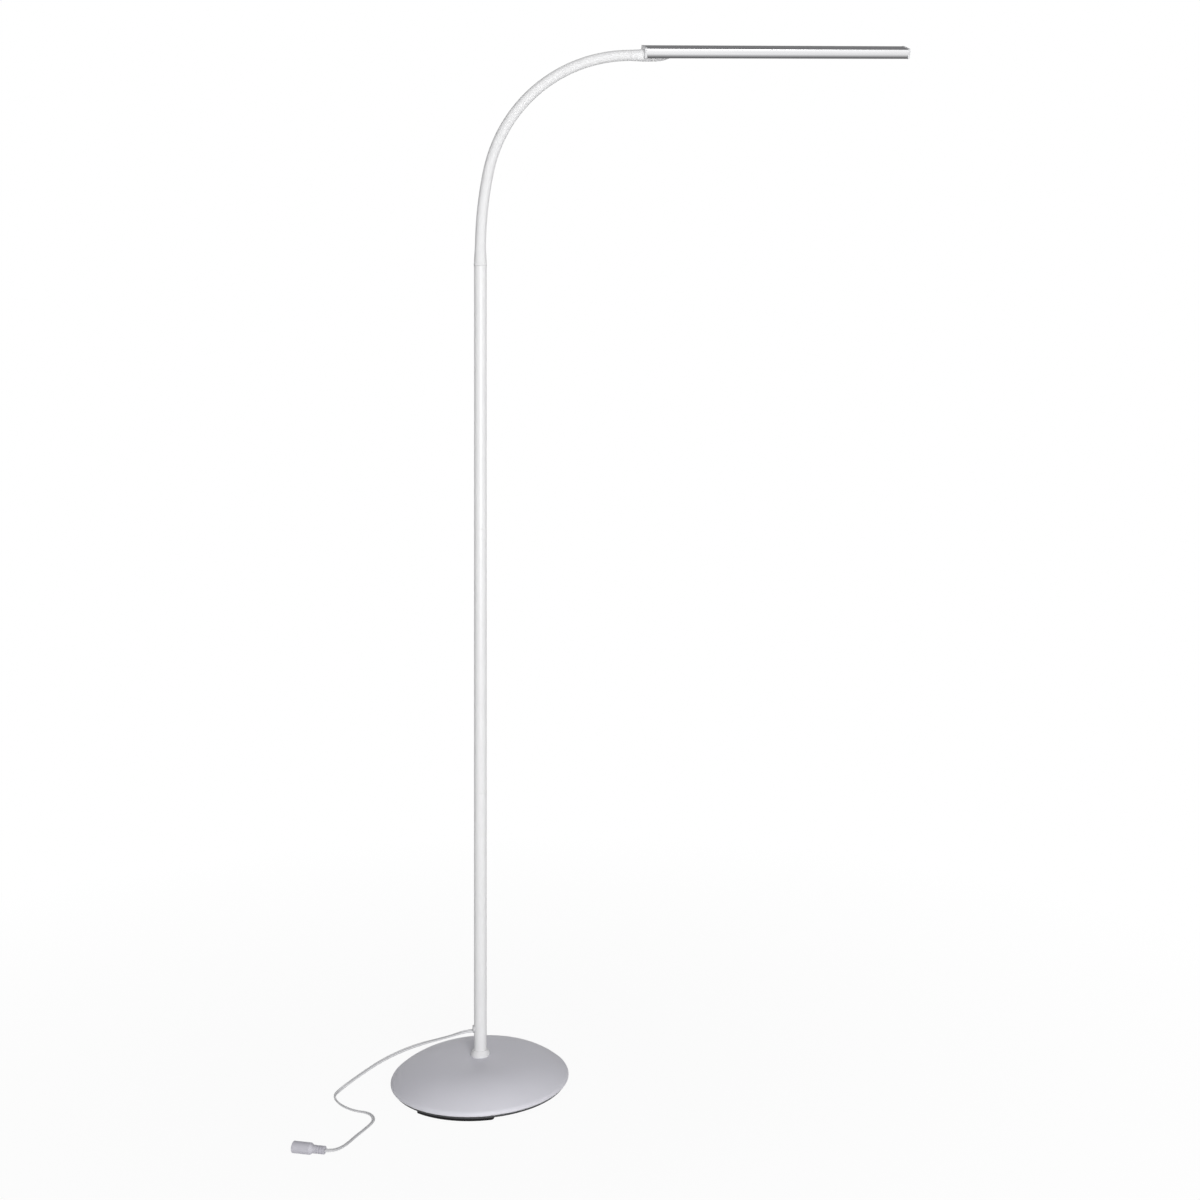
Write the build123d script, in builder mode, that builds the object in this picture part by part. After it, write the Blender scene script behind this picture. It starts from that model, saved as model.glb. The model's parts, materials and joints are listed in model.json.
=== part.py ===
"""Reading floor lamp with a domed foot, a three-piece pole, a gooseneck and a slim light bar.

Sizes are in millimetres and +Z is up. The floor is Z = 0 and the pole stands on the Z axis.
The gooseneck and the light bar reach out over +X, and the cord leaves the pole towards -X.
"""

import os
from math import acos, cos, degrees, pi, radians, sin, tan

from build123d import *

# Fits
slip_gap = 0.05  # radial gap of turned pieces that sit in a tube or a bore
screw_gap = 0.2  # radial gap round screws
run_gap = 0.3  # gap between pieces that move against each other

# Foot
base_radius = 104.3  # widest circle of the dome
rim_height = 7.5  # height of that circle above the floor
rim_roll = 1.5  # radius of the rolled lower edge
dome_height = 33.5  # top of the dome, where the pole stands
crown_radius = 90.0  # arc from the flat top down to the shoulder
shoulder_radius = 5.5  # arc from there to the widest circle
cover_wall = 3.0
pad_thickness = 3.0
pad_inset = 4.4  # the edge of the pad's three lobes, in from the rim
pad_turn = 247.0  # which way one lobe points
scallop_radius = 90.0  # hollow between two lobes
scallop_place = 155.5  # its middle from the pole's axis
pad_corner = 4.0
plate_thickness = 2.0
weight_thickness = 13.0
weight_inset = 13.3  # the ballast's edge, in from the rim
weight_bevel = 5.0
spacer_radius = 12.0

# Clamp through the foot
stud_radius = 5.0
stud_reach = 22.0  # length of the stud inside the pole
washer_radius = 11.0
washer_thickness = 1.5
nut_across = 16.0  # across the nut's flats
nut_height = 6.0
nut_room = 0.5  # free height below the nut
washer_room = 1.0  # free space round the washer
plate_screw_count = 4
plate_screw_circle = 60.0
plate_screw_radius = 2.0
plate_screw_head = 3.6  # radius of the countersunk head
plate_screw_length = 9.0

# Pole
pole_radius = 7.5
pole_wall = 1.0
pole_length = 311.5  # each of the three tubes
seam_chamfer = 0.35
coupler_length = 40.0
foot_plug_length = 24.0
collar_radius = 11.15
collar_neck_radius = 8.7
collar_flange = 2.6
collar_height = 7.0

# Cord outlet in the pole
outlet_height = 65.0
grommet_radius = 4.5
grommet_length = 6.0
grommet_stand = 1.5  # how far the grommet stands out of the tube
grommet_round = 0.8
slot_height = 6.2

# Wires
wire_radius = 1.2
wire_passage = 1.5
wire_bend = 3.0

# Gooseneck: a straight lead, then two arcs
arm_lead = 17.0
lower_radius = 486.0
lower_turn = 11.2
upper_radius = 187.0
arm_turn = 86.45  # how far the gooseneck has turned from upright at its end
joint_count = 16
bend_limit = 11.25  # the most that one joint bends from its rest
link_radius = 6.4
link_bore = 2.0
ball_radius = 5.2
ball_neck = 4.2
cup_depth = 1.2  # how far a cup reaches past its ball's middle
ferrule_taper = 24.0
ferrule_spigot = 18.0

# Swivel between the gooseneck and the light bar
head_roll = 26.0  # the bar's top leans this far towards -Y
swivel_radius = 4.0
swivel_length = 10.0
clip_place = 7.2  # from the swivel's face to the clip
clip_thickness = 0.8
clip_groove = 0.7
clip_radius = 5.2
clip_opening = 5.0
clip_play = 0.2

# Socket of the light bar, with its tongue under the bar
socket_length = 15.3
socket_mouth = 6.4
socket_radius = 7.2
socket_wall = 1.4
tongue_straight = 13.0
tongue_taper = 25.0
tongue_tip = 1.0
head_screw_place = 27.0  # from the swivel's face
head_screw_spread = 8.4
head_screw_radius = 1.25
head_screw_head = 2.2
head_screw_head_height = 1.6
head_screw_grip = 2.8  # tongue left above the head
head_screw_bite = 3.2  # length in the block

# Light bar
bar_length = 339.5  # over both end caps
bar_width = 24.0
bar_height = 12.0
bar_lift = 4.4  # the bar's middle above the swivel's axis
bar_top_round = 2.0
bar_bottom_round = 0.8
bar_side_wall = 1.5
bar_top_wall = 2.0
groove_depth = 0.7
groove_height = 0.9
groove_level = 1.9  # the groove's middle above the bar's underside
cap_thickness = 2.5
cap_overhang = 0.3
cap_plug_depth = 6.0
cap_plug_height = 5.6
cap_edge = 0.5
block_length = 36.0
block_thickness = 3.8
diffuser_thickness = 2.4
led_board_width = 12.0
led_board_thickness = 1.2
led_pitch = 10.0
led_margin = 14.0  # bare board past the first and last of the row, at least
led_length = 3.5
led_width = 2.8
led_height = 0.8
dimmer_length = 24.0
dimmer_width = 16.0
dimmer_thickness = 1.2
chip_size = 5.0
chip_height = 1.4
contact_width = 4.0
contact_reach = 5.0
contact_thickness = 0.3

# Cord and its in-line socket
cord_radius = 1.2
cord_lead = 14.5  # run out of the strain relief to the cord's last bend
connector_place = (-174.3, -148.0)  # where the cord enters the strain relief
connector_heading = 155.6  # which way the socket's mouth faces
connector_radius = 6.0
connector_length = 20.0
connector_shoulder = 3.0
connector_neck = 4.4
connector_relief = 8.8
relief_core = 3.2
relief_rib = 4.2
relief_ribs = 3
rib_width = 1.5
jack_bore = 3.15
jack_depth = 10.0
contact_wall = 0.3
jack_pin = 1.0
jack_pin_length = 9.0

pole_names = ("pole_lower", "pole_middle", "pole_upper")
coupler_names = ("pole_coupler_lower", "pole_coupler_upper")

upright = (Align.CENTER, Align.CENTER, Align.MIN)
hanging = (Align.CENTER, Align.CENTER, Align.MAX)
outward = (Align.MIN, Align.CENTER, Align.MIN)
standing = (Align.CENTER, Align.MIN)

# Levels and radii that follow from the sizes above
plate_top = pad_thickness + plate_thickness
weight_top = plate_top + weight_thickness
recess_depth = nut_room + nut_height + washer_thickness
recess_top = plate_top + recess_depth
dome_ceiling = dome_height - cover_wall
stud_hole = stud_radius + screw_gap
crown_sweep = degrees(acos((crown_radius - dome_height + rim_height) / (crown_radius - shoulder_radius)))
crown_flat = base_radius - shoulder_radius - (crown_radius - shoulder_radius) * sin(radians(crown_sweep))
pole_bore = pole_radius - pole_wall
pole_plug = pole_bore - slip_gap
pole_top = dome_height + len(pole_names) * pole_length
link_tilt = arm_turn / joint_count + bend_limit
cup_radius = ball_radius + run_gap
shoulder_gap = cup_depth + link_radius * sin(radians(link_tilt)) + 2 * run_gap

os.makedirs("parts", exist_ok=True)


def keep(piece, name):
    """Name a finished piece and write it."""
    piece.part.label = name
    export_step(piece.part, f"parts/{name}.step")


def ring(inner, outer, height):
    """Upright ring on the working plane."""
    Cylinder(outer, height, align=upright)
    Cylinder(inner, height, align=upright, mode=Mode.SUBTRACT)


# Foot


def dome_line(inset):
    """Outline of the dome from its widest circle to its top, moved in by a wall."""
    CenterArc((base_radius - shoulder_radius, rim_height), shoulder_radius - inset, 0, 90 - crown_sweep)
    CenterArc((crown_flat, dome_height - crown_radius), crown_radius - inset, 90 - crown_sweep, crown_sweep)
    Line((crown_flat, dome_height - inset), (0, dome_height - inset))


with BuildPart() as base_cover:
    with BuildSketch(Plane.XZ):
        with BuildLine():
            dome_line(0)
            Line((0, dome_height), (0, dome_ceiling))
            dome_line(cover_wall)
            Polyline(
                (base_radius - cover_wall, rim_height),
                (base_radius - cover_wall, rim_height - rim_roll),
                (base_radius - rim_roll, rim_height - rim_roll),
            )
            CenterArc((base_radius - rim_roll, rim_height), rim_roll, -90, 90)
        make_face()
    revolve(axis=Axis.Z)
    Cylinder(stud_hole, dome_height, align=upright, mode=Mode.SUBTRACT)
keep(base_cover, "base_cover")

with BuildPart() as base_pad:
    with BuildSketch(Plane.XY) as pad_outline:
        Circle(base_radius - pad_inset)
        with PolarLocations(scallop_place, 3, start_angle=pad_turn + 60):
            Circle(scallop_radius, mode=Mode.SUBTRACT)
        fillet(pad_outline.vertices(), pad_corner)
    extrude(amount=pad_thickness)
keep(base_pad, "base_pad")

with BuildPart(Plane.XY.offset(pad_thickness)) as base_plate:
    Cylinder(base_radius - cover_wall - run_gap, plate_thickness, align=upright)
    with PolarLocations(plate_screw_circle, plate_screw_count):
        Cone(
            plate_screw_head + screw_gap,
            plate_screw_radius + screw_gap,
            plate_thickness,
            align=upright,
            mode=Mode.SUBTRACT,
        )
keep(base_plate, "base_plate")

with BuildPart(Plane.XY.offset(plate_top)) as base_weight:
    Cylinder(base_radius - weight_inset, weight_thickness, align=upright)
    chamfer(base_weight.edges().group_by(Axis.Z)[-1], weight_bevel)
    Cylinder(stud_hole, weight_thickness, align=upright, mode=Mode.SUBTRACT)
    Cylinder(washer_radius + washer_room, recess_depth, align=upright, mode=Mode.SUBTRACT)
    with PolarLocations(plate_screw_circle, plate_screw_count):
        Cylinder(plate_screw_radius + screw_gap, plate_screw_length, align=upright, mode=Mode.SUBTRACT)
keep(base_weight, "base_weight")

with BuildPart(Plane.XY.offset(pad_thickness)) as base_screws:
    with PolarLocations(plate_screw_circle, plate_screw_count):
        Cone(plate_screw_head, plate_screw_radius, plate_thickness, align=upright)
        Cylinder(plate_screw_radius, plate_screw_length, align=upright)
keep(base_screws, "base_screws")

with BuildPart(Plane.XY.offset(weight_top)) as base_spacer:
    ring(stud_hole, spacer_radius, dome_ceiling - weight_top)
keep(base_spacer, "base_spacer")

with BuildPart(Plane.XY.offset(recess_top - washer_thickness)) as base_washer:
    ring(stud_hole, washer_radius, washer_thickness)
keep(base_washer, "base_washer")

with BuildPart() as base_nut:
    with BuildSketch(Plane.XY.offset(plate_top + nut_room)):
        RegularPolygon(nut_across / 2, 6, major_radius=False)
        Circle(stud_radius + slip_gap, mode=Mode.SUBTRACT)
    extrude(amount=nut_height)
keep(base_nut, "base_nut")

with BuildPart(Plane.XY.offset(plate_top + nut_room)) as pole_stud:
    Cylinder(stud_radius, dome_height + stud_reach - plate_top - nut_room, align=upright)
    chamfer(pole_stud.edges().filter_by(GeomType.CIRCLE), stud_radius / 10)
keep(pole_stud, "pole_stud")


# Pole

with BuildPart(Plane.XY.offset(dome_height)) as pole_foot_plug:
    ring(stud_radius + slip_gap, pole_plug, foot_plug_length)
keep(pole_foot_plug, "pole_foot_plug")

with BuildPart() as pole_collar:
    with BuildSketch(Plane.XZ):
        with BuildLine():
            Polyline(
                (pole_radius + slip_gap, dome_height),
                (collar_radius, dome_height),
                (collar_radius, dome_height + collar_flange),
                (collar_neck_radius, dome_height + collar_height),
                (pole_radius + slip_gap, dome_height + collar_height),
                close=True,
            )
        make_face()
        fillet(vertices().group_by(Axis.X)[-1], collar_flange / 4)
    revolve(axis=Axis.Z)
keep(pole_collar, "pole_collar")

for index, name in enumerate(pole_names):
    with BuildPart(Plane.XY.offset(dome_height + index * pole_length)) as pole_tube:
        ring(pole_bore, pole_radius, pole_length)
        rims = pole_tube.edges().filter_by(GeomType.CIRCLE).group_by(SortBy.RADIUS)[-1]
        chamfer(rims, seam_chamfer)
        if index == 0:
            with Locations(Location((0, 0, outlet_height - dome_height), (0, -90, 0))):
                Cylinder(grommet_radius + slip_gap, 2 * pole_radius, align=upright, mode=Mode.SUBTRACT)
    keep(pole_tube, name)

for index, name in enumerate(coupler_names, start=1):
    seam = dome_height + index * pole_length
    with BuildPart(Plane.XY.offset(seam - coupler_length / 2)) as pole_coupler:
        ring(wire_passage, pole_plug, coupler_length)
    keep(pole_coupler, name)

grommet_face = pole_radius + grommet_stand
cord_level = outlet_height - slot_height / 2 + cord_radius + slip_gap
slot_width = 2 * (cord_radius + slip_gap)
outlet_frame = Plane((-grommet_face, 0, outlet_height), x_dir=(0, 0, 1), z_dir=(1, 0, 0))
with BuildPart(outlet_frame) as cord_grommet:
    Cylinder(grommet_radius, grommet_length, align=upright)
    fillet(cord_grommet.edges().group_by(Axis.X)[0], grommet_round)
    with BuildSketch(outlet_frame):
        SlotOverall(slot_height, slot_width)
    extrude(amount=grommet_length, mode=Mode.SUBTRACT)
keep(cord_grommet, "cord_grommet")

cord_start = (grommet_length / 2 - grommet_face, 0, cord_level)
with BuildPart() as pole_wire:
    with BuildLine():
        FilletPolyline(
            cord_start,
            (0, 0, cord_level),
            (0, 0, pole_top - ferrule_spigot),
            radius=wire_bend,
        )
    with BuildSketch(Plane(cord_start, z_dir=(1, 0, 0))):
        Circle(wire_radius)
    sweep()
keep(pole_wire, "pole_wire")


# Gooseneck


def arm_point(turn):
    """Point of the gooseneck's middle line where it has turned from upright by an angle."""
    low = radians(min(turn, lower_turn))
    high = radians(max(turn, lower_turn))
    bend = radians(lower_turn)
    x = lower_radius * (1 - cos(low)) + upper_radius * (cos(bend) - cos(high))
    z = lower_radius * sin(low) + upper_radius * (sin(high) - sin(bend))
    return Vector(x, 0, pole_top + arm_lead + z)


def add_ball(height):
    """Ball on its neck, for the cup of the next piece."""
    with Locations((0, 0, height - shoulder_gap)):
        Cylinder(ball_neck, shoulder_gap, align=upright)
    with Locations((0, 0, height)):
        Sphere(ball_radius)


arm_joints = [arm_point(arm_turn * (index + 0.5) / joint_count) for index in range(joint_count)]
arm_tip = arm_point(arm_turn)
tip_rise = radians(90 - arm_turn)
tip_direction = Vector(cos(tip_rise), 0, sin(tip_rise))
tip_upward = Vector(-sin(tip_rise), 0, cos(tip_rise))

first_joint = arm_joints[0]
with BuildPart(Plane.XY.offset(pole_top)) as arm_ferrule:
    Cone(pole_radius, link_radius, ferrule_taper, align=upright)
    chamfer(arm_ferrule.edges().group_by(Axis.Z)[0], seam_chamfer)
    Cylinder(link_radius, first_joint.Z - pole_top - shoulder_gap, align=upright)
    with Locations((0, 0, -ferrule_spigot)):
        Cylinder(pole_plug, ferrule_spigot, align=upright)
    with Locations((first_joint.X, 0, 0)):
        add_ball(first_joint.Z - pole_top)
    Cylinder(link_bore, 4 * ferrule_taper, mode=Mode.SUBTRACT)
keep(arm_ferrule, "arm_ferrule")

for index in range(1, joint_count):
    link_span = arm_joints[index] - arm_joints[index - 1]
    with BuildPart(Plane(arm_joints[index - 1], z_dir=link_span)) as arm_link:
        with Locations((0, 0, -cup_depth)):
            Cylinder(link_radius, cup_depth + link_span.length - shoulder_gap, align=upright)
        Sphere(cup_radius, mode=Mode.SUBTRACT)
        add_ball(link_span.length)
        Cylinder(link_bore, 3 * link_span.length, mode=Mode.SUBTRACT)
    keep(arm_link, f"arm_link_{index:02d}")

tip_frame = Plane(arm_tip, z_dir=tip_direction)
last_joint = tip_frame.to_local_coords(arm_joints[-1])
clip_floor = swivel_radius - clip_groove
with BuildPart(tip_frame) as arm_end:
    with Locations((0, 0, last_joint.Z - cup_depth)):
        Cylinder(link_radius, cup_depth - last_joint.Z - run_gap, align=upright)
    with Locations(last_joint):
        Sphere(cup_radius, mode=Mode.SUBTRACT)
    with Locations((0, 0, -run_gap)):
        Cylinder(swivel_radius, run_gap + swivel_length, align=upright)
    with BuildSketch(tip_frame.offset(clip_place)):
        Circle(swivel_radius)
        Circle(clip_floor, mode=Mode.SUBTRACT)
    extrude(amount=clip_thickness, mode=Mode.SUBTRACT)
    Cylinder(link_bore, 4 * swivel_length, mode=Mode.SUBTRACT)
keep(arm_end, "arm_end")

with BuildPart(tip_frame.offset(clip_place)) as swivel_clip:
    ring(clip_floor, clip_radius, clip_thickness)
    Box(clip_radius, clip_opening, clip_thickness, align=outward, mode=Mode.SUBTRACT)
keep(swivel_clip, "swivel_clip")


# Light bar, in a frame whose X axis runs along the swivel and whose Z axis is the bar's own up

head_up = tip_upward * cos(radians(head_roll)) + Vector(0, -1, 0) * sin(radians(head_roll))
head_frame = Plane(arm_tip, x_dir=tip_direction, z_dir=head_up)
side_frame = Plane(arm_tip, x_dir=tip_direction, z_dir=-head_frame.y_dir)
bar_floor = bar_lift - bar_height / 2
profile_start = socket_length + cap_thickness
profile_length = bar_length - 2 * cap_thickness
profile_end = profile_start + profile_length
channel_width = bar_width - 2 * bar_side_wall
channel_depth = bar_height - bar_top_wall
channel_top = bar_floor + channel_depth
wire_seat = bar_floor + block_thickness


def bar_plane(distance):
    """Plane square across the bar, centred on the bar's middle."""
    middle = head_frame.from_local_coords(Vector(distance, 0, bar_lift))
    return Plane(middle, x_dir=head_frame.y_dir, z_dir=head_frame.x_dir)


def bar_outline(grow):
    """Rounded outline of the bar, made larger all round."""
    Rectangle(bar_width + 2 * grow, bar_height + 2 * grow)
    fillet(vertices().group_by(Axis.Y)[-1], bar_top_round + grow)
    fillet(vertices().group_by(Axis.Y)[0], bar_bottom_round + grow)


def groove_section(play, mode):
    """Section across the two grooves in the channel's sides, or across what slides in them."""
    with Locations((0, groove_level - bar_height / 2)):
        Rectangle(channel_width + 2 * (groove_depth - play), groove_height - 2 * play, mode=mode)


def strip_section(thickness):
    """Section of a strip that slides into the channel's grooves."""
    with Locations((0, -bar_height / 2)):
        Rectangle(channel_width - 2 * slip_gap, thickness, align=standing)
    groove_section(slip_gap, Mode.ADD)


socket_bore = swivel_radius + slip_gap
tongue_end = socket_length + tongue_straight + tongue_taper
with BuildPart(head_frame) as head_socket:
    with BuildSketch(side_frame):
        with BuildLine():
            Polyline(
                (tongue_end, tongue_tip),
                (tongue_end, 0),
                (0, 0),
                (0, socket_mouth),
                (socket_length, socket_radius),
                (socket_length + tongue_straight, socket_radius),
            )
            TangentArc(
                (socket_length + tongue_straight, socket_radius),
                (tongue_end, tongue_tip),
                tangent=(1, 0),
            )
        make_face()
    revolve(axis=Axis(arm_tip, tip_direction))
    with Locations((socket_length, 0, bar_floor)):
        Box(bar_length, bar_width, bar_height, align=outward, mode=Mode.SUBTRACT)
    with Locations((socket_length, 0, bar_floor - cap_overhang)):
        Box(cap_thickness, bar_width, bar_height, align=outward, mode=Mode.SUBTRACT)
    with Locations(Location((0, 0, 0), (0, 90, 0))):
        Cylinder(socket_bore, 2 * socket_length, mode=Mode.SUBTRACT)
    with Locations(Location((clip_place - clip_play, 0, 0), (0, 90, 0))):
        Cylinder(
            socket_radius - socket_wall,
            socket_length - clip_place + clip_play,
            align=upright,
            mode=Mode.SUBTRACT,
        )
    with Locations((head_screw_place, 0, bar_floor - head_screw_grip)):
        with GridLocations(0, head_screw_spread, 1, 2):
            Cylinder(head_screw_radius + screw_gap, 2 * head_screw_grip, mode=Mode.SUBTRACT)
            Cylinder(head_screw_head + screw_gap, socket_radius, align=hanging, mode=Mode.SUBTRACT)
keep(head_socket, "head_socket")

with BuildPart(head_frame) as head_screws:
    with Locations((head_screw_place, 0, bar_floor - head_screw_grip)):
        with GridLocations(0, head_screw_spread, 1, 2):
            Cylinder(head_screw_radius, head_screw_grip + head_screw_bite, align=upright)
            Cylinder(head_screw_head, head_screw_head_height, align=hanging)
keep(head_screws, "head_screws")

with BuildPart() as head_profile:
    with BuildSketch(bar_plane(profile_start)):
        bar_outline(0)
        with Locations((0, -bar_height / 2)):
            Rectangle(channel_width, channel_depth, align=standing, mode=Mode.SUBTRACT)
        groove_section(0, Mode.SUBTRACT)
    extrude(amount=profile_length)
keep(head_profile, "head_profile")


def end_cap(outer_face, inward):
    """End cap with its plug in the channel, from its outer face inwards."""
    with BuildSketch(bar_plane(outer_face)) as plate:
        bar_outline(cap_overhang)
    extrude(plate.sketch, amount=inward * cap_thickness)
    with BuildSketch(bar_plane(outer_face + inward * cap_thickness)) as plug:
        with Locations((0, channel_depth - bar_height / 2 - slip_gap)):
            Rectangle(channel_width - 2 * slip_gap, cap_plug_height, align=(Align.CENTER, Align.MAX))
    extrude(plug.sketch, amount=inward * cap_plug_depth)


with BuildPart() as inner_end_cap:
    end_cap(socket_length, 1)
    with BuildSketch(bar_plane(socket_length)):
        with Locations((0, -bar_lift)):
            Circle(wire_passage)
    extrude(amount=cap_thickness, mode=Mode.SUBTRACT)
keep(inner_end_cap, "inner_end_cap")

with BuildPart() as outer_end_cap:
    end_cap(socket_length + bar_length, -1)
    chamfer(faces().sort_by(Axis(arm_tip, tip_direction))[-1].edges(), cap_edge)
keep(outer_end_cap, "outer_end_cap")

with BuildPart(head_frame) as mount_block:
    with BuildSketch(bar_plane(profile_start)):
        strip_section(block_thickness)
    extrude(amount=block_length)
    with Locations((profile_start, 0, -wire_radius)):
        Box(block_length, 2 * wire_passage, block_thickness, align=outward, mode=Mode.SUBTRACT)
    with Locations((head_screw_place, 0, bar_floor)):
        with GridLocations(0, head_screw_spread, 1, 2):
            Cylinder(head_screw_radius + slip_gap, 2 * head_screw_bite, mode=Mode.SUBTRACT)
keep(mount_block, "mount_block")

with BuildPart() as diffuser:
    with BuildSketch(bar_plane(profile_start + block_length)):
        strip_section(diffuser_thickness)
    extrude(amount=profile_length - block_length)
keep(diffuser, "diffuser")

led_board_length = profile_length - block_length - cap_plug_depth
with BuildPart(head_frame) as led_board:
    with Locations((profile_start + block_length, 0, channel_top - led_board_thickness)):
        Box(led_board_length, led_board_width, led_board_thickness, align=outward)
keep(led_board, "led_board")

led_count = int((led_board_length - 2 * led_margin - led_length) / led_pitch) + 1
with BuildPart(head_frame) as led_chips:
    board_middle = profile_start + block_length + led_board_length / 2
    with Locations((board_middle, 0, channel_top - led_board_thickness - led_height)):
        with GridLocations(led_pitch, 0, led_count, 1):
            Box(led_length, led_width, led_height, align=upright)
keep(led_chips, "led_chips")

dimmer_start = profile_start + block_length - dimmer_length
dimmer_top = wire_seat + dimmer_thickness
with BuildPart(head_frame) as dimmer_board:
    with Locations((dimmer_start, 0, wire_seat)):
        Box(dimmer_length, dimmer_width, dimmer_thickness, align=outward)
keep(dimmer_board, "dimmer_board")

with BuildPart(head_frame) as dimmer_chip:
    with Locations((dimmer_start + dimmer_length / 2, 0, dimmer_top)):
        Box(chip_size, chip_size, chip_height, align=upright)
keep(dimmer_chip, "dimmer_chip")

with BuildPart(head_frame) as touch_contact:
    contact_height = channel_top - dimmer_top
    with Locations((dimmer_start, 0, dimmer_top)):
        Box(contact_thickness, contact_width, contact_height, align=outward)
        Box(contact_reach, contact_width, contact_thickness, align=outward)
    with Locations((dimmer_start, 0, channel_top - contact_thickness)):
        Box(contact_reach, contact_width, contact_thickness, align=outward)
keep(touch_contact, "touch_contact")

head_wire_start = swivel_length + run_gap
with BuildPart(head_frame) as head_wire:
    with Locations(Location((head_wire_start, 0, 0), (0, 90, 0))):
        Cylinder(wire_radius, profile_start + block_length - head_wire_start, align=upright)
keep(head_wire, "head_wire")


# Cord and its in-line socket

mouth_way = Vector(cos(radians(connector_heading)), sin(radians(connector_heading)), 0)
relief_end = Vector(*connector_place, connector_radius)
cord_points = [
    cord_start,
    (-17.5, 0.0, cord_level),
    (-37.0, 2.5, 57.0),
    (-76.0, 7.0, 48.5),
    (-111.0, 10.5, 34.5),
    (-139.0, 13.0, 17.0),
    (-161.0, 13.5, 2.2),
    (-169.5, -4.0, 1.3),
    (-163.0, -26.0, 1.3),
    (-147.0, -46.5, 1.3),
    (-127.5, -57.0, 1.3),
    (-122.5, -76.0, 1.3),
    (-131.0, -93.0, 1.3),
    (-139.5, -112.5, 1.3),
    (-146.5, -130.5, 1.5),
    relief_end - cord_lead * mouth_way,
    relief_end,
]


def bend_radii(points):
    """Radius of the bend at each inner point, from its shorter run and its turn."""
    spots = [Vector(point) for point in points]
    radii = []
    for before, here, after in zip(spots, spots[1:], spots[2:]):
        half_turn = radians((here - before).get_angle(after - here)) / 2
        shorter = min((here - before).length, (after - here).length)
        radii.append(0.45 * shorter / tan(half_turn))
    return radii


cord_bends = bend_radii(cord_points)
with BuildPart() as power_cord:
    with BuildLine() as cord_line:
        FilletPolyline(cord_points, radius=cord_bends)
    with BuildSketch(Plane(cord_line.line @ 0, z_dir=cord_line.line % 0)):
        Circle(cord_radius)
    sweep()
keep(power_cord, "power_cord")
cord_length = cord_line.wire().length
print("cord bends", [round(radius, 1) for radius in cord_bends])
print("cord length", round(cord_length, 1))
print("cord volume", round(power_cord.part.volume, 1))
print("cord section by length", round(pi * cord_radius**2 * cord_length, 1))

relief_frame = Plane(relief_end, z_dir=mouth_way)
neck_start = connector_relief
shoulder_start = neck_start + connector_neck
body_start = shoulder_start + connector_shoulder
connector_end = body_start + connector_length
with BuildPart(relief_frame) as connector_body:
    Cylinder(relief_core, neck_start, align=upright)
    rib_step = (connector_relief - rib_width) / (relief_ribs - 0.5)
    for index in range(relief_ribs):
        with Locations((0, 0, index * rib_step)):
            Cylinder(relief_rib, rib_width, align=upright)
    with Locations((0, 0, neck_start)):
        Cylinder(relief_rib, connector_neck, align=upright)
    with Locations((0, 0, shoulder_start)):
        Cone(relief_rib, connector_radius, connector_shoulder, align=upright)
    with Locations((0, 0, body_start)):
        Cylinder(connector_radius, connector_length, align=upright)
    chamfer(edges().sort_by(Axis(relief_end, mouth_way))[-1], cap_edge)
    with Locations((0, 0, connector_end - jack_depth)):
        Cylinder(jack_bore, jack_depth, align=upright, mode=Mode.SUBTRACT)
keep(connector_body, "connector_body")

with BuildPart(relief_frame.offset(connector_end - jack_depth)) as connector_contact:
    ring(jack_bore - slip_gap - contact_wall, jack_bore - slip_gap, jack_depth - run_gap)
keep(connector_contact, "connector_contact")

with BuildPart(relief_frame.offset(connector_end - jack_depth)) as connector_pin:
    Cylinder(jack_pin, jack_pin_length, align=upright)
    fillet(edges().sort_by(Axis(relief_end, mouth_way))[-1], jack_pin / 2)
keep(connector_pin, "connector_pin")
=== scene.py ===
"""Looks of the reading floor lamp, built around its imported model. Lengths are in metres."""

import json
from math import cos, degrees, pi, radians, sin

import bmesh
import bpy
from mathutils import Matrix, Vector


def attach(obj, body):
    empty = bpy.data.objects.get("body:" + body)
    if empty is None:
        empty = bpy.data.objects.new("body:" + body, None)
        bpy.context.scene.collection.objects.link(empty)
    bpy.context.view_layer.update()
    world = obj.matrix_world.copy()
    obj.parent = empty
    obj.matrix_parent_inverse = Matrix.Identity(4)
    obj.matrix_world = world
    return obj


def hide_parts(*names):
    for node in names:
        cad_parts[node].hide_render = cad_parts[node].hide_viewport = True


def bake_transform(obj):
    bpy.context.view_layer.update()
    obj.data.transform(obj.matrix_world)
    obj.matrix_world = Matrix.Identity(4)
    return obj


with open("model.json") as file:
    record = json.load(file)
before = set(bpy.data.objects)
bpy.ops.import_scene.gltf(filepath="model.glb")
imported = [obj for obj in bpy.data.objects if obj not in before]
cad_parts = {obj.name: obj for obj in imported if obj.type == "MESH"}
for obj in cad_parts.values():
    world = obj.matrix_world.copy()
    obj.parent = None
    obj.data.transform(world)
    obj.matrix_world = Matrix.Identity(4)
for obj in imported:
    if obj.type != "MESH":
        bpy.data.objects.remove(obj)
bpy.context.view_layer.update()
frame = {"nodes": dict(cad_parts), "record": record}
scene = bpy.context.scene
scene.view_settings.view_transform = "Standard"


# Camera: level, beside the arm's plane, with the photograph's framing in its shift

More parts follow.
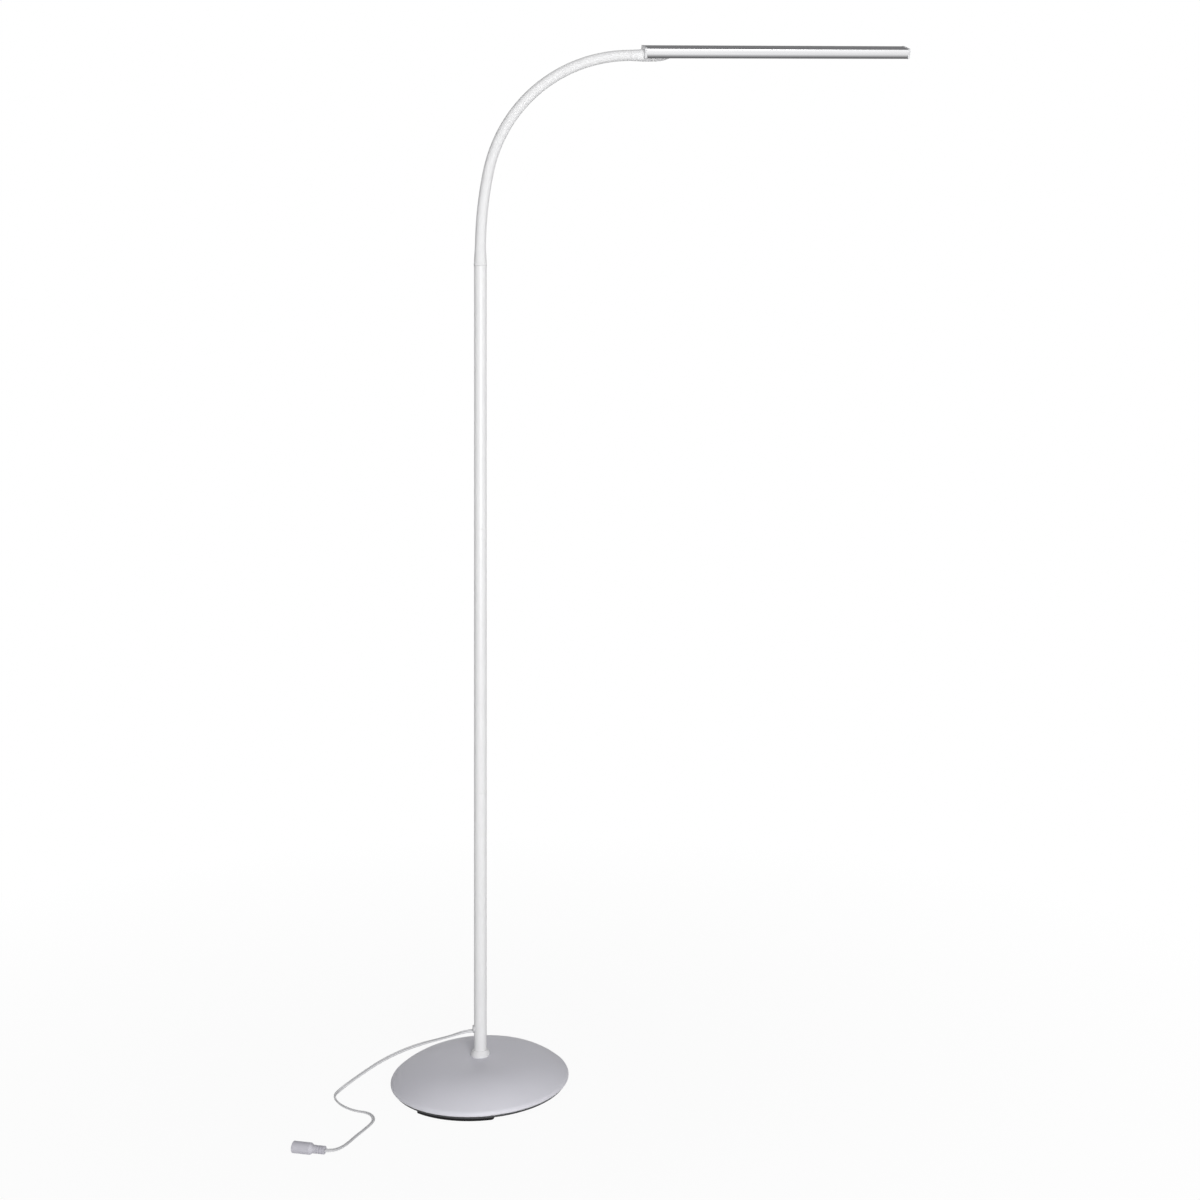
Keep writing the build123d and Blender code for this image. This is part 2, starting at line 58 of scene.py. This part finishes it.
picture_side = 1200  # pixels
shift_pixels = (-70, -110)
camera_place = (-0.1251, -1.6695, 0.703)
camera_way = (0.2079, 0.9781, 0.0)
camera_data = bpy.data.cameras.new("camera")
camera_data.sensor_width = 36.0
camera_data.lens = 42.0
camera_data.shift_x = shift_pixels[0] / picture_side
camera_data.shift_y = shift_pixels[1] / picture_side
camera_data.clip_start = 0.05
camera_data.clip_end = 100.0
camera = bpy.data.objects.new("camera", camera_data)
scene.collection.objects.link(camera)
camera.location = camera_place
camera.rotation_euler = Vector(camera_way).to_track_quat("-Z", "Y").to_euler()
scene.camera = camera


# Materials

noise_low, noise_high = 0.3, 0.7  # nearly all of a noise lies between these


class Look:
    """One procedural material: a shader whose colour, roughness and normal come from small helpers."""

    def __init__(self, name):
        self.material = bpy.data.materials.new(name)
        self.material.use_nodes = True
        self.tree = self.material.node_tree
        self.shader = self.tree.nodes["Principled BSDF"]
        self.height = None

    def node(self, kind, **values):
        made = self.tree.nodes.new(kind)
        for key, value in values.items():
            setattr(made, key, value)
        return made

    def link(self, source, target):
        self.tree.links.new(source, target)

    def set(self, **values):
        for key, value in values.items():
            self.shader.inputs[key.replace("_", " ")].default_value = value
        return self

    def place(self):
        """Coordinates in the object's own frame."""
        return self.node("ShaderNodeTexCoord").outputs["Object"]

    def noise(self, scale, detail):
        made = self.node("ShaderNodeTexNoise")
        made.inputs["Scale"].default_value = scale
        made.inputs["Detail"].default_value = detail
        self.link(self.place(), made.inputs["Vector"])
        return made.outputs["Fac"]

    def ramp(self, factor, stops):
        """Colours along a factor. A stop is a position and a colour."""
        made = self.node("ShaderNodeValToRGB")
        while len(made.color_ramp.elements) < len(stops):
            made.color_ramp.elements.new(0.5)
        for element, (position, colour) in zip(made.color_ramp.elements, stops):
            element.position = position
            element.color = (*colour, 1)
        self.link(factor, made.inputs["Fac"])
        return made.outputs["Color"]

    def tint(self, factor, dark, light, low=noise_low, high=noise_high):
        self.link(self.ramp(factor, [(low, dark), (high, light)]), self.shader.inputs["Base Color"])
        return self

    def gloss(self, factor, low, high):
        made = self.node("ShaderNodeMapRange")
        made.inputs["From Min"].default_value = noise_low
        made.inputs["From Max"].default_value = noise_high
        made.inputs["To Min"].default_value = low
        made.inputs["To Max"].default_value = high
        self.link(factor, made.inputs["Value"])
        self.link(made.outputs["Result"], self.shader.inputs["Roughness"])
        return self

    def relief(self, factor, strength, distance):
        """Bump, laid over any relief given before."""
        made = self.node("ShaderNodeBump")
        made.inputs["Strength"].default_value = strength
        made.inputs["Distance"].default_value = distance
        self.link(factor, made.inputs["Height"])
        if self.height:
            self.link(self.height, made.inputs["Normal"])
        self.height = made.outputs["Normal"]
        self.link(self.height, self.shader.inputs["Normal"])
        return self


def silver_paint():
    look = Look("silver_paint")
    flake = look.noise(2600, 2)
    cloud = look.noise(9, 3)
    look.set(Metallic=0.0, Specular_IOR_Level=0.3)
    look.tint(cloud, (0.745, 0.74, 0.795), (0.775, 0.77, 0.825))
    look.gloss(flake, 0.42, 0.56)
    return look.relief(flake, 0.05, 0.00005)


def white_paint(name, level, low, high, shine):
    """White paint or sleeve with a faint orange peel."""
    look = Look(name)
    peel = look.noise(420, 2)
    cloud = look.noise(14, 2)
    look.set(Specular_IOR_Level=shine)
    look.tint(cloud, (level * 0.97, level * 0.97, level * 0.975), (level, level, level))
    look.gloss(peel, low, high)
    return look.relief(peel, 0.006, 0.00003)


def plastic(name, dark, light, low, high, grain=900, shine=0.45):
    """Moulded plastic with a fine grain."""
    look = Look(name)
    fine = look.noise(grain, 2)
    look.set(Specular_IOR_Level=shine)
    look.tint(look.noise(40, 2), dark, light)
    look.gloss(fine, low, high)
    return look.relief(fine, 0.03, 0.00004)


def metal(name, dark, light, low, high, grain=600, strength=0.15):
    """Bare metal with a grain."""
    look = Look(name)
    fine = look.noise(grain, 3)
    look.set(Metallic=1.0)
    look.tint(fine, dark, light)
    look.gloss(look.noise(60, 2), low, high)
    return look.relief(fine, strength, 0.00006)


bar_way = (0.9981, 0.0, 0.0619)
bar_up = (-0.0556, -0.4384, 0.8971)
bar_across = Vector(bar_way).cross(Vector(bar_up))
bar_height = 0.012
bar_lift = 0.0044  # from the gooseneck's end to the middle of the bar's height
arm_end_place = Vector((0.18112, 0.0, 1.22972))
bar_middle = Vector(bar_up).dot(arm_end_place) + bar_lift


def bar_place(look):
    """Coordinates along, across and up the light bar."""
    source = look.place()
    parts = look.node("ShaderNodeCombineXYZ")
    for index, way in enumerate((bar_way, bar_across, bar_up)):
        level = look.node("ShaderNodeVectorMath", operation="DOT_PRODUCT")
        level.inputs[1].default_value = way
        look.link(source, level.inputs[0])
        look.link(level.outputs["Value"], parts.inputs[index])
    return parts.outputs["Vector"]


def bar_aluminium_painted_shading():
    """Extruded bar with fine drawing lines. Its colour runs over the bar's height as painted shade and
    painted reflection: dark at the lower lip, light bands higher up.
    """
    look = Look("bare_aluminium")
    place = bar_place(look)
    squeeze = look.node("ShaderNodeMapping")
    squeeze.inputs["Scale"].default_value = (0.004, 1, 1)
    look.link(place, squeeze.inputs["Vector"])
    lines = look.node("ShaderNodeTexNoise")
    lines.inputs["Scale"].default_value = 1600
    lines.inputs["Detail"].default_value = 2
    look.link(squeeze.outputs["Vector"], lines.inputs["Vector"])
    parts = look.node("ShaderNodeSeparateXYZ")
    look.link(place, parts.inputs["Vector"])
    share = look.node("ShaderNodeMapRange")
    share.inputs["From Min"].default_value = bar_middle - bar_height / 2
    share.inputs["From Max"].default_value = bar_middle + bar_height / 2
    look.link(parts.outputs["Z"], share.inputs["Value"])
    # Painted shade and painted reflection by height across the bar: dark along the lower lip, light bands
    # above it, brightest near the top.
    shade = look.ramp(
        share.outputs["Result"],
        [
            (0.00, (0.11, 0.11, 0.115)),
            (0.15, (0.15, 0.15, 0.155)),
            (0.29, (0.42, 0.42, 0.43)),
            (0.41, (0.72, 0.72, 0.73)),
            (0.54, (0.81, 0.81, 0.82)),
            (0.62, (0.80, 0.80, 0.81)),
            (0.74, (0.90, 0.90, 0.91)),
            (0.90, (0.86, 0.86, 0.87)),
        ],
    )
    grain = look.ramp(lines.outputs["Fac"], [(noise_low, (0.94, 0.94, 0.94)), (noise_high, (1, 1, 1))])
    both = look.node("ShaderNodeMix", data_type="RGBA", blend_type="MULTIPLY")
    both.inputs["Factor"].default_value = 1.0
    look.link(shade, both.inputs["A"])
    look.link(grain, both.inputs["B"])
    look.link(both.outputs["Result"], look.shader.inputs["Base Color"])
    look.set(Metallic=1.0)
    look.gloss(lines.outputs["Fac"], 0.21, 0.26)
    return look.relief(lines.outputs["Fac"], 0.008, 0.00002)


def cord_plastic():
    """Milky flex with two cores and a groove between them. Painted shade darkens the groove; the colour is
    lighter over the cores and darker again nearer the edges.
    """
    look = Look("cord_plastic")
    across = look.node("ShaderNodeAttribute", attribute_name="across").outputs["Fac"]
    # Painted shade: a dark line down the groove between the cores.
    colour = look.ramp(
        across,
        [
            (0.0, (0.76, 0.76, 0.77)),
            (0.14, (0.58, 0.58, 0.60)),
            (0.28, (0.84, 0.84, 0.85)),
            (0.50, (0.36, 0.36, 0.37)),
            (0.72, (0.84, 0.84, 0.85)),
            (0.86, (0.58, 0.58, 0.60)),
            (1.0, (0.76, 0.76, 0.77)),
        ],
    )
    look.link(colour, look.shader.inputs["Base Color"])
    fine = look.noise(900, 2)
    look.set(Specular_IOR_Level=0.35)
    look.gloss(fine, 0.32, 0.42)
    return look.relief(fine, 0.02, 0.00004)


def circuit_board():
    """Solder mask with its tracks."""
    look = Look("board_laminate")
    wave = look.node("ShaderNodeTexWave", bands_direction="DIAGONAL")
    wave.inputs["Scale"].default_value = 150
    wave.inputs["Distortion"].default_value = 2
    look.link(look.place(), wave.inputs["Vector"])
    look.tint(wave.outputs["Fac"], (0.03, 0.16, 0.07), (0.06, 0.26, 0.12), 0.45, 0.55)
    look.gloss(look.noise(500, 2), 0.3, 0.42)
    return look.relief(wave.outputs["Fac"], 0.2, 0.00004)


looks = {
    "silver_paint": silver_paint(),
    "white_paint": white_paint("white_paint", 0.85, 0.30, 0.33, 0.35),
    "sleeve": white_paint("sleeve", 0.86, 0.55, 0.60, 0.06),
    "white_plastic": plastic(
        "white_plastic", (0.83, 0.83, 0.835), (0.86, 0.86, 0.865), 0.40, 0.48, shine=0.10
    ),
    "cap_plastic": plastic("cap_plastic", (0.74, 0.74, 0.75), (0.78, 0.78, 0.79), 0.22, 0.32),
    "grommet_plastic": plastic("grommet_plastic", (0.55, 0.55, 0.56), (0.62, 0.62, 0.63), 0.38, 0.5),
    "connector_plastic": plastic(
        "connector_plastic", (0.56, 0.55, 0.60), (0.61, 0.60, 0.65), 0.48, 0.56, grain=300, shine=0.2
    ),
    "black_rubber": plastic(
        "black_rubber", (0.008, 0.008, 0.009), (0.014, 0.014, 0.015), 0.6, 0.75, grain=500, shine=0.12
    ),
    "opal_plastic": plastic("opal_plastic", (0.86, 0.86, 0.85), (0.90, 0.90, 0.89), 0.42, 0.55),
    "wire_plastic": plastic("wire_plastic", (0.72, 0.72, 0.72), (0.78, 0.78, 0.78), 0.35, 0.45),
    "led_plastic": plastic("led_plastic", (0.80, 0.62, 0.18), (0.88, 0.72, 0.26), 0.4, 0.5),
    "chip_plastic": plastic("chip_plastic", (0.015, 0.015, 0.016), (0.025, 0.025, 0.026), 0.45, 0.55),
    "cord_plastic": cord_plastic(),
    "board_laminate": circuit_board(),
    "bare_aluminium": bar_aluminium_painted_shading(),
    "plated_steel": metal("plated_steel", (0.52, 0.52, 0.52), (0.62, 0.62, 0.61), 0.28, 0.42),
    "contact_brass": metal("contact_brass", (0.62, 0.46, 0.18), (0.72, 0.56, 0.24), 0.25, 0.36),
    "cast_iron": metal(
        "cast_iron", (0.10, 0.10, 0.105), (0.16, 0.16, 0.165), 0.55, 0.75, grain=300, strength=0.5
    ),
    "dark_steel": plastic("dark_steel", (0.03, 0.03, 0.032), (0.045, 0.045, 0.048), 0.4, 0.55),
}

slot_of = {row["node"]: row["material_slot"] for row in frame["record"]["subparts"]}
for name, node in frame["nodes"].items():
    node.data.materials.clear()
    node.data.materials.append(looks[slot_of[name]].material)


# Cord: a flat twin flex along the route, lying flat on the floor

cord_route = [
    (-0.0060, 0.0000, 0.06315),
    (-0.0175, 0.0000, 0.06315),
    (-0.0370, 0.0025, 0.0570),
    (-0.0760, 0.0070, 0.0485),
    (-0.1110, 0.0105, 0.0345),
    (-0.1390, 0.0130, 0.0170),
    (-0.1610, 0.0135, 0.0022),
    (-0.1695, -0.0040, 0.0013),
    (-0.1630, -0.0260, 0.0013),
    (-0.1470, -0.0465, 0.0013),
    (-0.1275, -0.0570, 0.0013),
    (-0.1225, -0.0760, 0.0013),
    (-0.1310, -0.0930, 0.0013),
    (-0.1435, -0.1130, 0.0013),
    (-0.1530, -0.1310, 0.0015),
    (-0.1652, -0.1521, 0.0060),
    (-0.1743, -0.1480, 0.0060),
]
cord_width = 0.0038
cord_thickness = 0.0020
cord_sides = 28
core_rise = 1.15  # how far the cores stand up between the groove and the edges
core_reach = 0.8
groove_depth = 0.30
groove_reach = 0.35
groove_share = 0.38
floor_gap = 0.00015
cord_rolls = [  # share of the way along, and roll in degrees
    (0.0, 70),
    (0.10, 20),
    (0.22, 60),
    (0.42, 50),
    (0.52, 75),
    (0.60, 20),
    (0.72, 0),
    (0.92, 10),
    (1.0, 40),
]


def mesh_object(name, mesh, look):
    piece = bpy.data.objects.new(name, mesh)
    scene.collection.objects.link(piece)
    mesh.materials.append(looks[look].material)
    return piece


def spline_points(route):
    """Points of the smooth line that a route's control points give."""
    curve = bpy.data.curves.new("cord_line", "CURVE")
    curve.dimensions = "3D"
    spline = curve.splines.new("NURBS")
    spline.points.add(len(route) - 1)
    for point, place in zip(spline.points, route):
        point.co = (*place, 1)
    spline.order_u = 3
    spline.use_endpoint_u = True
    spline.resolution_u = 14
    holder = bpy.data.objects.new("cord_line", curve)
    scene.collection.objects.link(holder)
    bpy.context.view_layer.update()
    line = bpy.data.meshes.new_from_object(holder)
    points = [vertex.co.copy() for vertex in line.vertices]
    bpy.data.objects.remove(holder)
    return points


def between(stops, share):
    """Value at a share of the way along a list of (share, value) stops."""
    for (low, first), (high, second) in zip(stops, stops[1:]):
        if share <= high:
            part = (share - low) / (high - low)
            return first + (second - first) * part * part * (3 - 2 * part)
    return stops[-1][1]


def flex_section():
    """Section of the twin flex as (across, over) pairs: two round cores side by side."""
    half = cord_thickness / 2
    section = []
    for index in range(cord_sides):
        angle = 2 * pi * index / cord_sides
        out = abs(cos(angle))
        waist = 1 - groove_depth * (1 - min(1.0, out / groove_reach)) ** 2
        rise = core_rise if out < core_reach else 1.0
        over = sin(angle) * half * (1 - groove_share + groove_share * waist) * rise
        section.append((cos(angle) * cord_width / 2, max(-half, min(half, over))))
    return section


def cord_mesh(points):
    mesh = bpy.data.meshes.new("power_flex")
    work = bmesh.new()
    shade = work.verts.layers.float.new("across")
    lengths = [0.0]
    for first, second in zip(points, points[1:]):
        lengths.append(lengths[-1] + (second - first).length)
    section = flex_section()
    rings = []
    for index, point in enumerate(points):
        ahead = points[min(index + 1, len(points) - 1)] - points[max(index - 1, 0)]
        ahead.normalize()
        side = ahead.cross(Vector((0, 0, 1))).normalized()
        over = side.cross(ahead).normalized()
        roll = radians(between(cord_rolls, lengths[index] / lengths[-1]))
        wide = side * cos(roll) + over * sin(roll)
        thin = over * cos(roll) - side * sin(roll)
        places = [point + wide * across + thin * up for across, up in section]
        lift = max(0.0, floor_gap - min(place.z for place in places))
        ring = []
        for place, (across, _) in zip(places, section):
            vertex = work.verts.new(place + Vector((0, 0, lift)))
            vertex[shade] = across / cord_width + 0.5
            ring.append(vertex)
        rings.append(ring)
    for first, second in zip(rings, rings[1:]):
        for index in range(len(section)):
            after = (index + 1) % len(section)
            work.faces.new((first[index], first[after], second[after], second[index]))
    work.faces.new(list(reversed(rings[0])))
    work.faces.new(rings[-1])
    bmesh.ops.recalc_face_normals(work, faces=work.faces)
    work.to_mesh(mesh)
    work.free()
    mesh.shade_smooth()
    return mesh, lengths[-1]


cord_points = spline_points(cord_route)
flex_data, flex_length = cord_mesh(cord_points)
flex = mesh_object("power_flex", flex_data, "cord_plastic")
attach(flex, "stand")
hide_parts("power_cord")


# Gooseneck sleeve: one smooth white tube, in lengths split at the bend joints, with one whole length at each
# sway joint

pole_top = 0.968
sleeve_radius = 0.0064
arm_lead = 0.017
lower_radius = 0.486
lower_turn = 11.2
upper_radius = 0.187
arm_turn = 86.45
joint_count = 16
flare_height = 0.026
flare_steps = 14
bead_outline = [  # height over the pole's top, and radius
    (0.0001, 0.0068),
    (0.0002, 0.0073),
    (0.0006, 0.00768),
    (0.0012, 0.0078),
    (0.0022, 0.0078),
    (0.0028, 0.00768),
    (0.0032, 0.00748),
]
sleeve_sides = 48
half_steps = 6
length_steps = 12
ball_step = 10  # degrees
socket_gap = 0.0001  # the sleeve's end stands this far off the light bar's socket


def arm_place(turn):
    """Middle point and direction of the gooseneck where it has turned from upright by an angle."""
    low = radians(min(turn, lower_turn))
    high = radians(max(turn, lower_turn))
    bend = radians(lower_turn)
    x = lower_radius * (1 - cos(low)) + upper_radius * (cos(bend) - cos(high))
    z = lower_radius * sin(low) + upper_radius * (sin(high) - sin(bend))
    return Vector((x, 0, pole_top + arm_lead + z)), Vector((sin(radians(turn)), 0, cos(radians(turn))))


def foot_rings():
    """Rings of the sleeve's foot: a small bead on the pole, then the flare down to the sleeve."""
    outline = list(bead_outline)
    foot_height, foot_radius = bead_outline[-1]
    for index in range(1, flare_steps + 1):
        share = index / flare_steps
        smooth = share * share * (3 - 2 * share)
        height = foot_height + (flare_height - foot_height) * share
        outline.append((height, foot_radius + (sleeve_radius - foot_radius) * smooth))
    rings = []
    for height, radius in outline:
        rise = max(0.0, height - arm_lead)
        turn = degrees(rise / lower_radius)
        if rise:
            rings.append((*arm_place(turn), radius))
        else:
            rings.append((Vector((0, 0, pole_top + height)), Vector((0, 0, 1)), radius))
    return rings, turn


def sleeve_mesh(name, rings):
    """Closed tube through rings given as middle, direction and radius."""
    mesh = bpy.data.meshes.new(name)
    work = bmesh.new()
    loops = []
    for middle, way, radius in rings:
        over = Vector((0, 1, 0))
        side = over.cross(way)
        loop = []
        for index in range(sleeve_sides):
            angle = 2 * pi * index / sleeve_sides
            loop.append(work.verts.new(middle + radius * (cos(angle) * side + sin(angle) * over)))
        loops.append(loop)
    for first, second in zip(loops, loops[1:]):
        for index in range(sleeve_sides):
            after = (index + 1) % sleeve_sides
            face = work.faces.new((first[index], first[after], second[after], second[index]))
            face.smooth = True
    for cap in (list(reversed(loops[0])), loops[-1]):
        face = work.faces.new(cap)
        for edge in face.edges:
            edge.smooth = False
    bmesh.ops.recalc_face_normals(work, faces=work.faces)
    work.to_mesh(mesh)
    work.free()
    return mesh


def sleeve_rings(first_turn, last_turn, steps):
    """Even rings along the gooseneck from one angle to another."""
    rings = []
    for step in range(steps + 1):
        rings.append((*arm_place(first_turn + (last_turn - first_turn) * step / steps), sleeve_radius))
    return rings


def ball_rings(turn, sense):
    """Rings of the ball that a length ends in at a joint, outwards from beside its widest ring."""
    middle, way = arm_place(turn)
    rings = []
    for out in range(ball_step, 90, ball_step):
        angle = radians(out)
        rings.append((middle + sense * sleeve_radius * sin(angle) * way, way, sleeve_radius * cos(angle)))
    return rings


def sleeve_piece(name, rings):
    piece = mesh_object(name, sleeve_mesh(name, rings), "sleeve")
    return piece


chain = ["stand", *(f"arm_link_{index:02d}" for index in range(1, joint_count)), "arm_end"]
for index in range(joint_count):
    first_turn = arm_turn * index / joint_count
    last_turn = arm_turn * (index + 1) / joint_count
    name = f"sleeve_{index + 1:02d}"
    if index % 2 == 0:
        # A length at a bend joint is in two rigid halves that meet in a ball.
        joint_turn = (first_turn + last_turn) / 2
        if index == 0:
            near_rings, foot_turn = foot_rings()
            near_rings += sleeve_rings(foot_turn, joint_turn, half_steps)[1:]
        else:
            near_rings = sleeve_rings(first_turn, joint_turn, half_steps)
        far_rings = sleeve_rings(joint_turn, last_turn, half_steps)
        near = sleeve_piece(f"{name}_near", near_rings + ball_rings(joint_turn, 1))
        far = sleeve_piece(f"{name}_far", ball_rings(joint_turn, -1)[::-1] + far_rings)
        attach(near, chain[index])
        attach(far, chain[index + 1])
        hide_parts("arm_ferrule" if index == 0 else chain[index])
    else:
        # A length at a sway joint is one piece along the arc.
        gap_turn = degrees(socket_gap / upper_radius) if index == joint_count - 1 else 0
        piece = sleeve_piece(name, sleeve_rings(first_turn, last_turn - gap_turn, length_steps))
        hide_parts(chain[index])
        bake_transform(piece)
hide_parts("arm_end")


# Stage: pale floor, white surround, soft lights

floor_half = 8.0
floor_fade = (0.25, 1.2)  # distances from the pole
floor_glow = (0.94, 1.0)  # share of plain white at those distances
ceiling_rise = (0.37, 0.50)  # where the surround turns from white to the ceiling
seen_rays = ("Is Camera Ray", "Is Glossy Ray", "Is Transmission Ray")


def light_path(tree, *names):
    """One where a ray is any of the named kinds."""
    paths = tree.nodes.new("ShaderNodeLightPath")
    total = paths.outputs[names[0]]
    for name in names[1:]:
        most = tree.nodes.new("ShaderNodeMath")
        most.operation = "MAXIMUM"
        tree.links.new(total, most.inputs[0])
        tree.links.new(paths.outputs[name], most.inputs[1])
        total = most.outputs[0]
    return total


def add_floor():
    mesh = bpy.data.meshes.new("floor")
    corners = [(x * floor_half, y * floor_half, 0) for x, y in ((-1, -1), (1, -1), (1, 1), (-1, 1))]
    mesh.from_pydata(corners, [], [(0, 1, 2, 3)])
    floor = bpy.data.objects.new("floor", mesh)
    scene.collection.objects.link(floor)
    material = bpy.data.materials.new("floor")
    material.use_nodes = True
    tree = material.node_tree
    shader = tree.nodes["Principled BSDF"]
    shader.inputs["Base Color"].default_value = (0.88, 0.88, 0.88, 1)
    shader.inputs["Roughness"].default_value = 0.9
    shader.inputs["Specular IOR Level"].default_value = 0.0
    glow = tree.nodes.new("ShaderNodeEmission")
    glow.inputs["Color"].default_value = (1, 1, 1, 1)
    glow.inputs["Strength"].default_value = 1.0
    place = tree.nodes.new("ShaderNodeTexCoord")
    away = tree.nodes.new("ShaderNodeVectorMath")
    away.operation = "LENGTH"
    tree.links.new(place.outputs["Object"], away.inputs[0])
    fade = tree.nodes.new("ShaderNodeMapRange")
    fade.inputs["From Min"].default_value = floor_fade[0]
    fade.inputs["From Max"].default_value = floor_fade[1]
    fade.inputs["To Min"].default_value = floor_glow[0]
    fade.inputs["To Max"].default_value = floor_glow[1]
    tree.links.new(away.outputs["Value"], fade.inputs["Value"])
    share = tree.nodes.new("ShaderNodeMath")
    share.operation = "MULTIPLY"
    tree.links.new(light_path(tree, *seen_rays), share.inputs[0])
    tree.links.new(fade.outputs["Result"], share.inputs[1])
    mix = tree.nodes.new("ShaderNodeMixShader")
    tree.links.new(share.outputs[0], mix.inputs["Fac"])
    tree.links.new(shader.outputs["BSDF"], mix.inputs[1])
    tree.links.new(glow.outputs["Emission"], mix.inputs[2])
    tree.links.new(mix.outputs["Shader"], tree.nodes["Material Output"].inputs["Surface"])
    mesh.materials.append(material)


def add_world():
    """White surround with a dim ceiling above it, and a soft level fill for scattered light."""
    world = bpy.data.worlds.new("studio")
    scene.world = world
    world.use_nodes = True
    tree = world.node_tree
    place = tree.nodes.new("ShaderNodeTexCoord")
    parts = tree.nodes.new("ShaderNodeSeparateXYZ")
    tree.links.new(place.outputs["Generated"], parts.inputs["Vector"])
    ceiling = tree.nodes.new("ShaderNodeValToRGB")
    ceiling.color_ramp.elements[0].position = ceiling_rise[0]
    ceiling.color_ramp.elements[0].color = (1, 1, 1, 1)
    ceiling.color_ramp.elements[1].position = ceiling_rise[1]
    ceiling.color_ramp.elements[1].color = (0.19, 0.19, 0.195, 1)
    tree.links.new(parts.outputs["Z"], ceiling.inputs["Fac"])
    mix = tree.nodes.new("ShaderNodeMix")
    mix.data_type = "RGBA"
    tree.links.new(light_path(tree, *seen_rays), mix.inputs["Factor"])
    mix.inputs["A"].default_value = (0.24, 0.24, 0.245, 1)
    tree.links.new(ceiling.outputs["Color"], mix.inputs["B"])
    tree.links.new(mix.outputs["Result"], tree.nodes["Background"].inputs["Color"])


def add_light(name, place, aim, width, height, watts):
    data = bpy.data.lights.new(name, "AREA")
    data.shape = "RECTANGLE"
    data.size = width
    data.size_y = height
    data.energy = watts
    lamp = bpy.data.objects.new(name, data)
    scene.collection.objects.link(lamp)
    lamp.location = place
    lamp.rotation_euler = (Vector(aim) - Vector(place)).to_track_quat("-Z", "Y").to_euler()


add_floor()
add_world()
add_light("key", (0.2, -2.75, 0.80), (0.05, 0, 0.5), 1.1, 0.9, 44)
add_light("upper", (0.4, -1.9, 1.5), (0.15, 0, 1.05), 0.9, 0.6, 6)
add_light("rear", (-0.1, 2.8, 0.85), (0.05, 0, 0.6), 2.6, 1.0, 8)
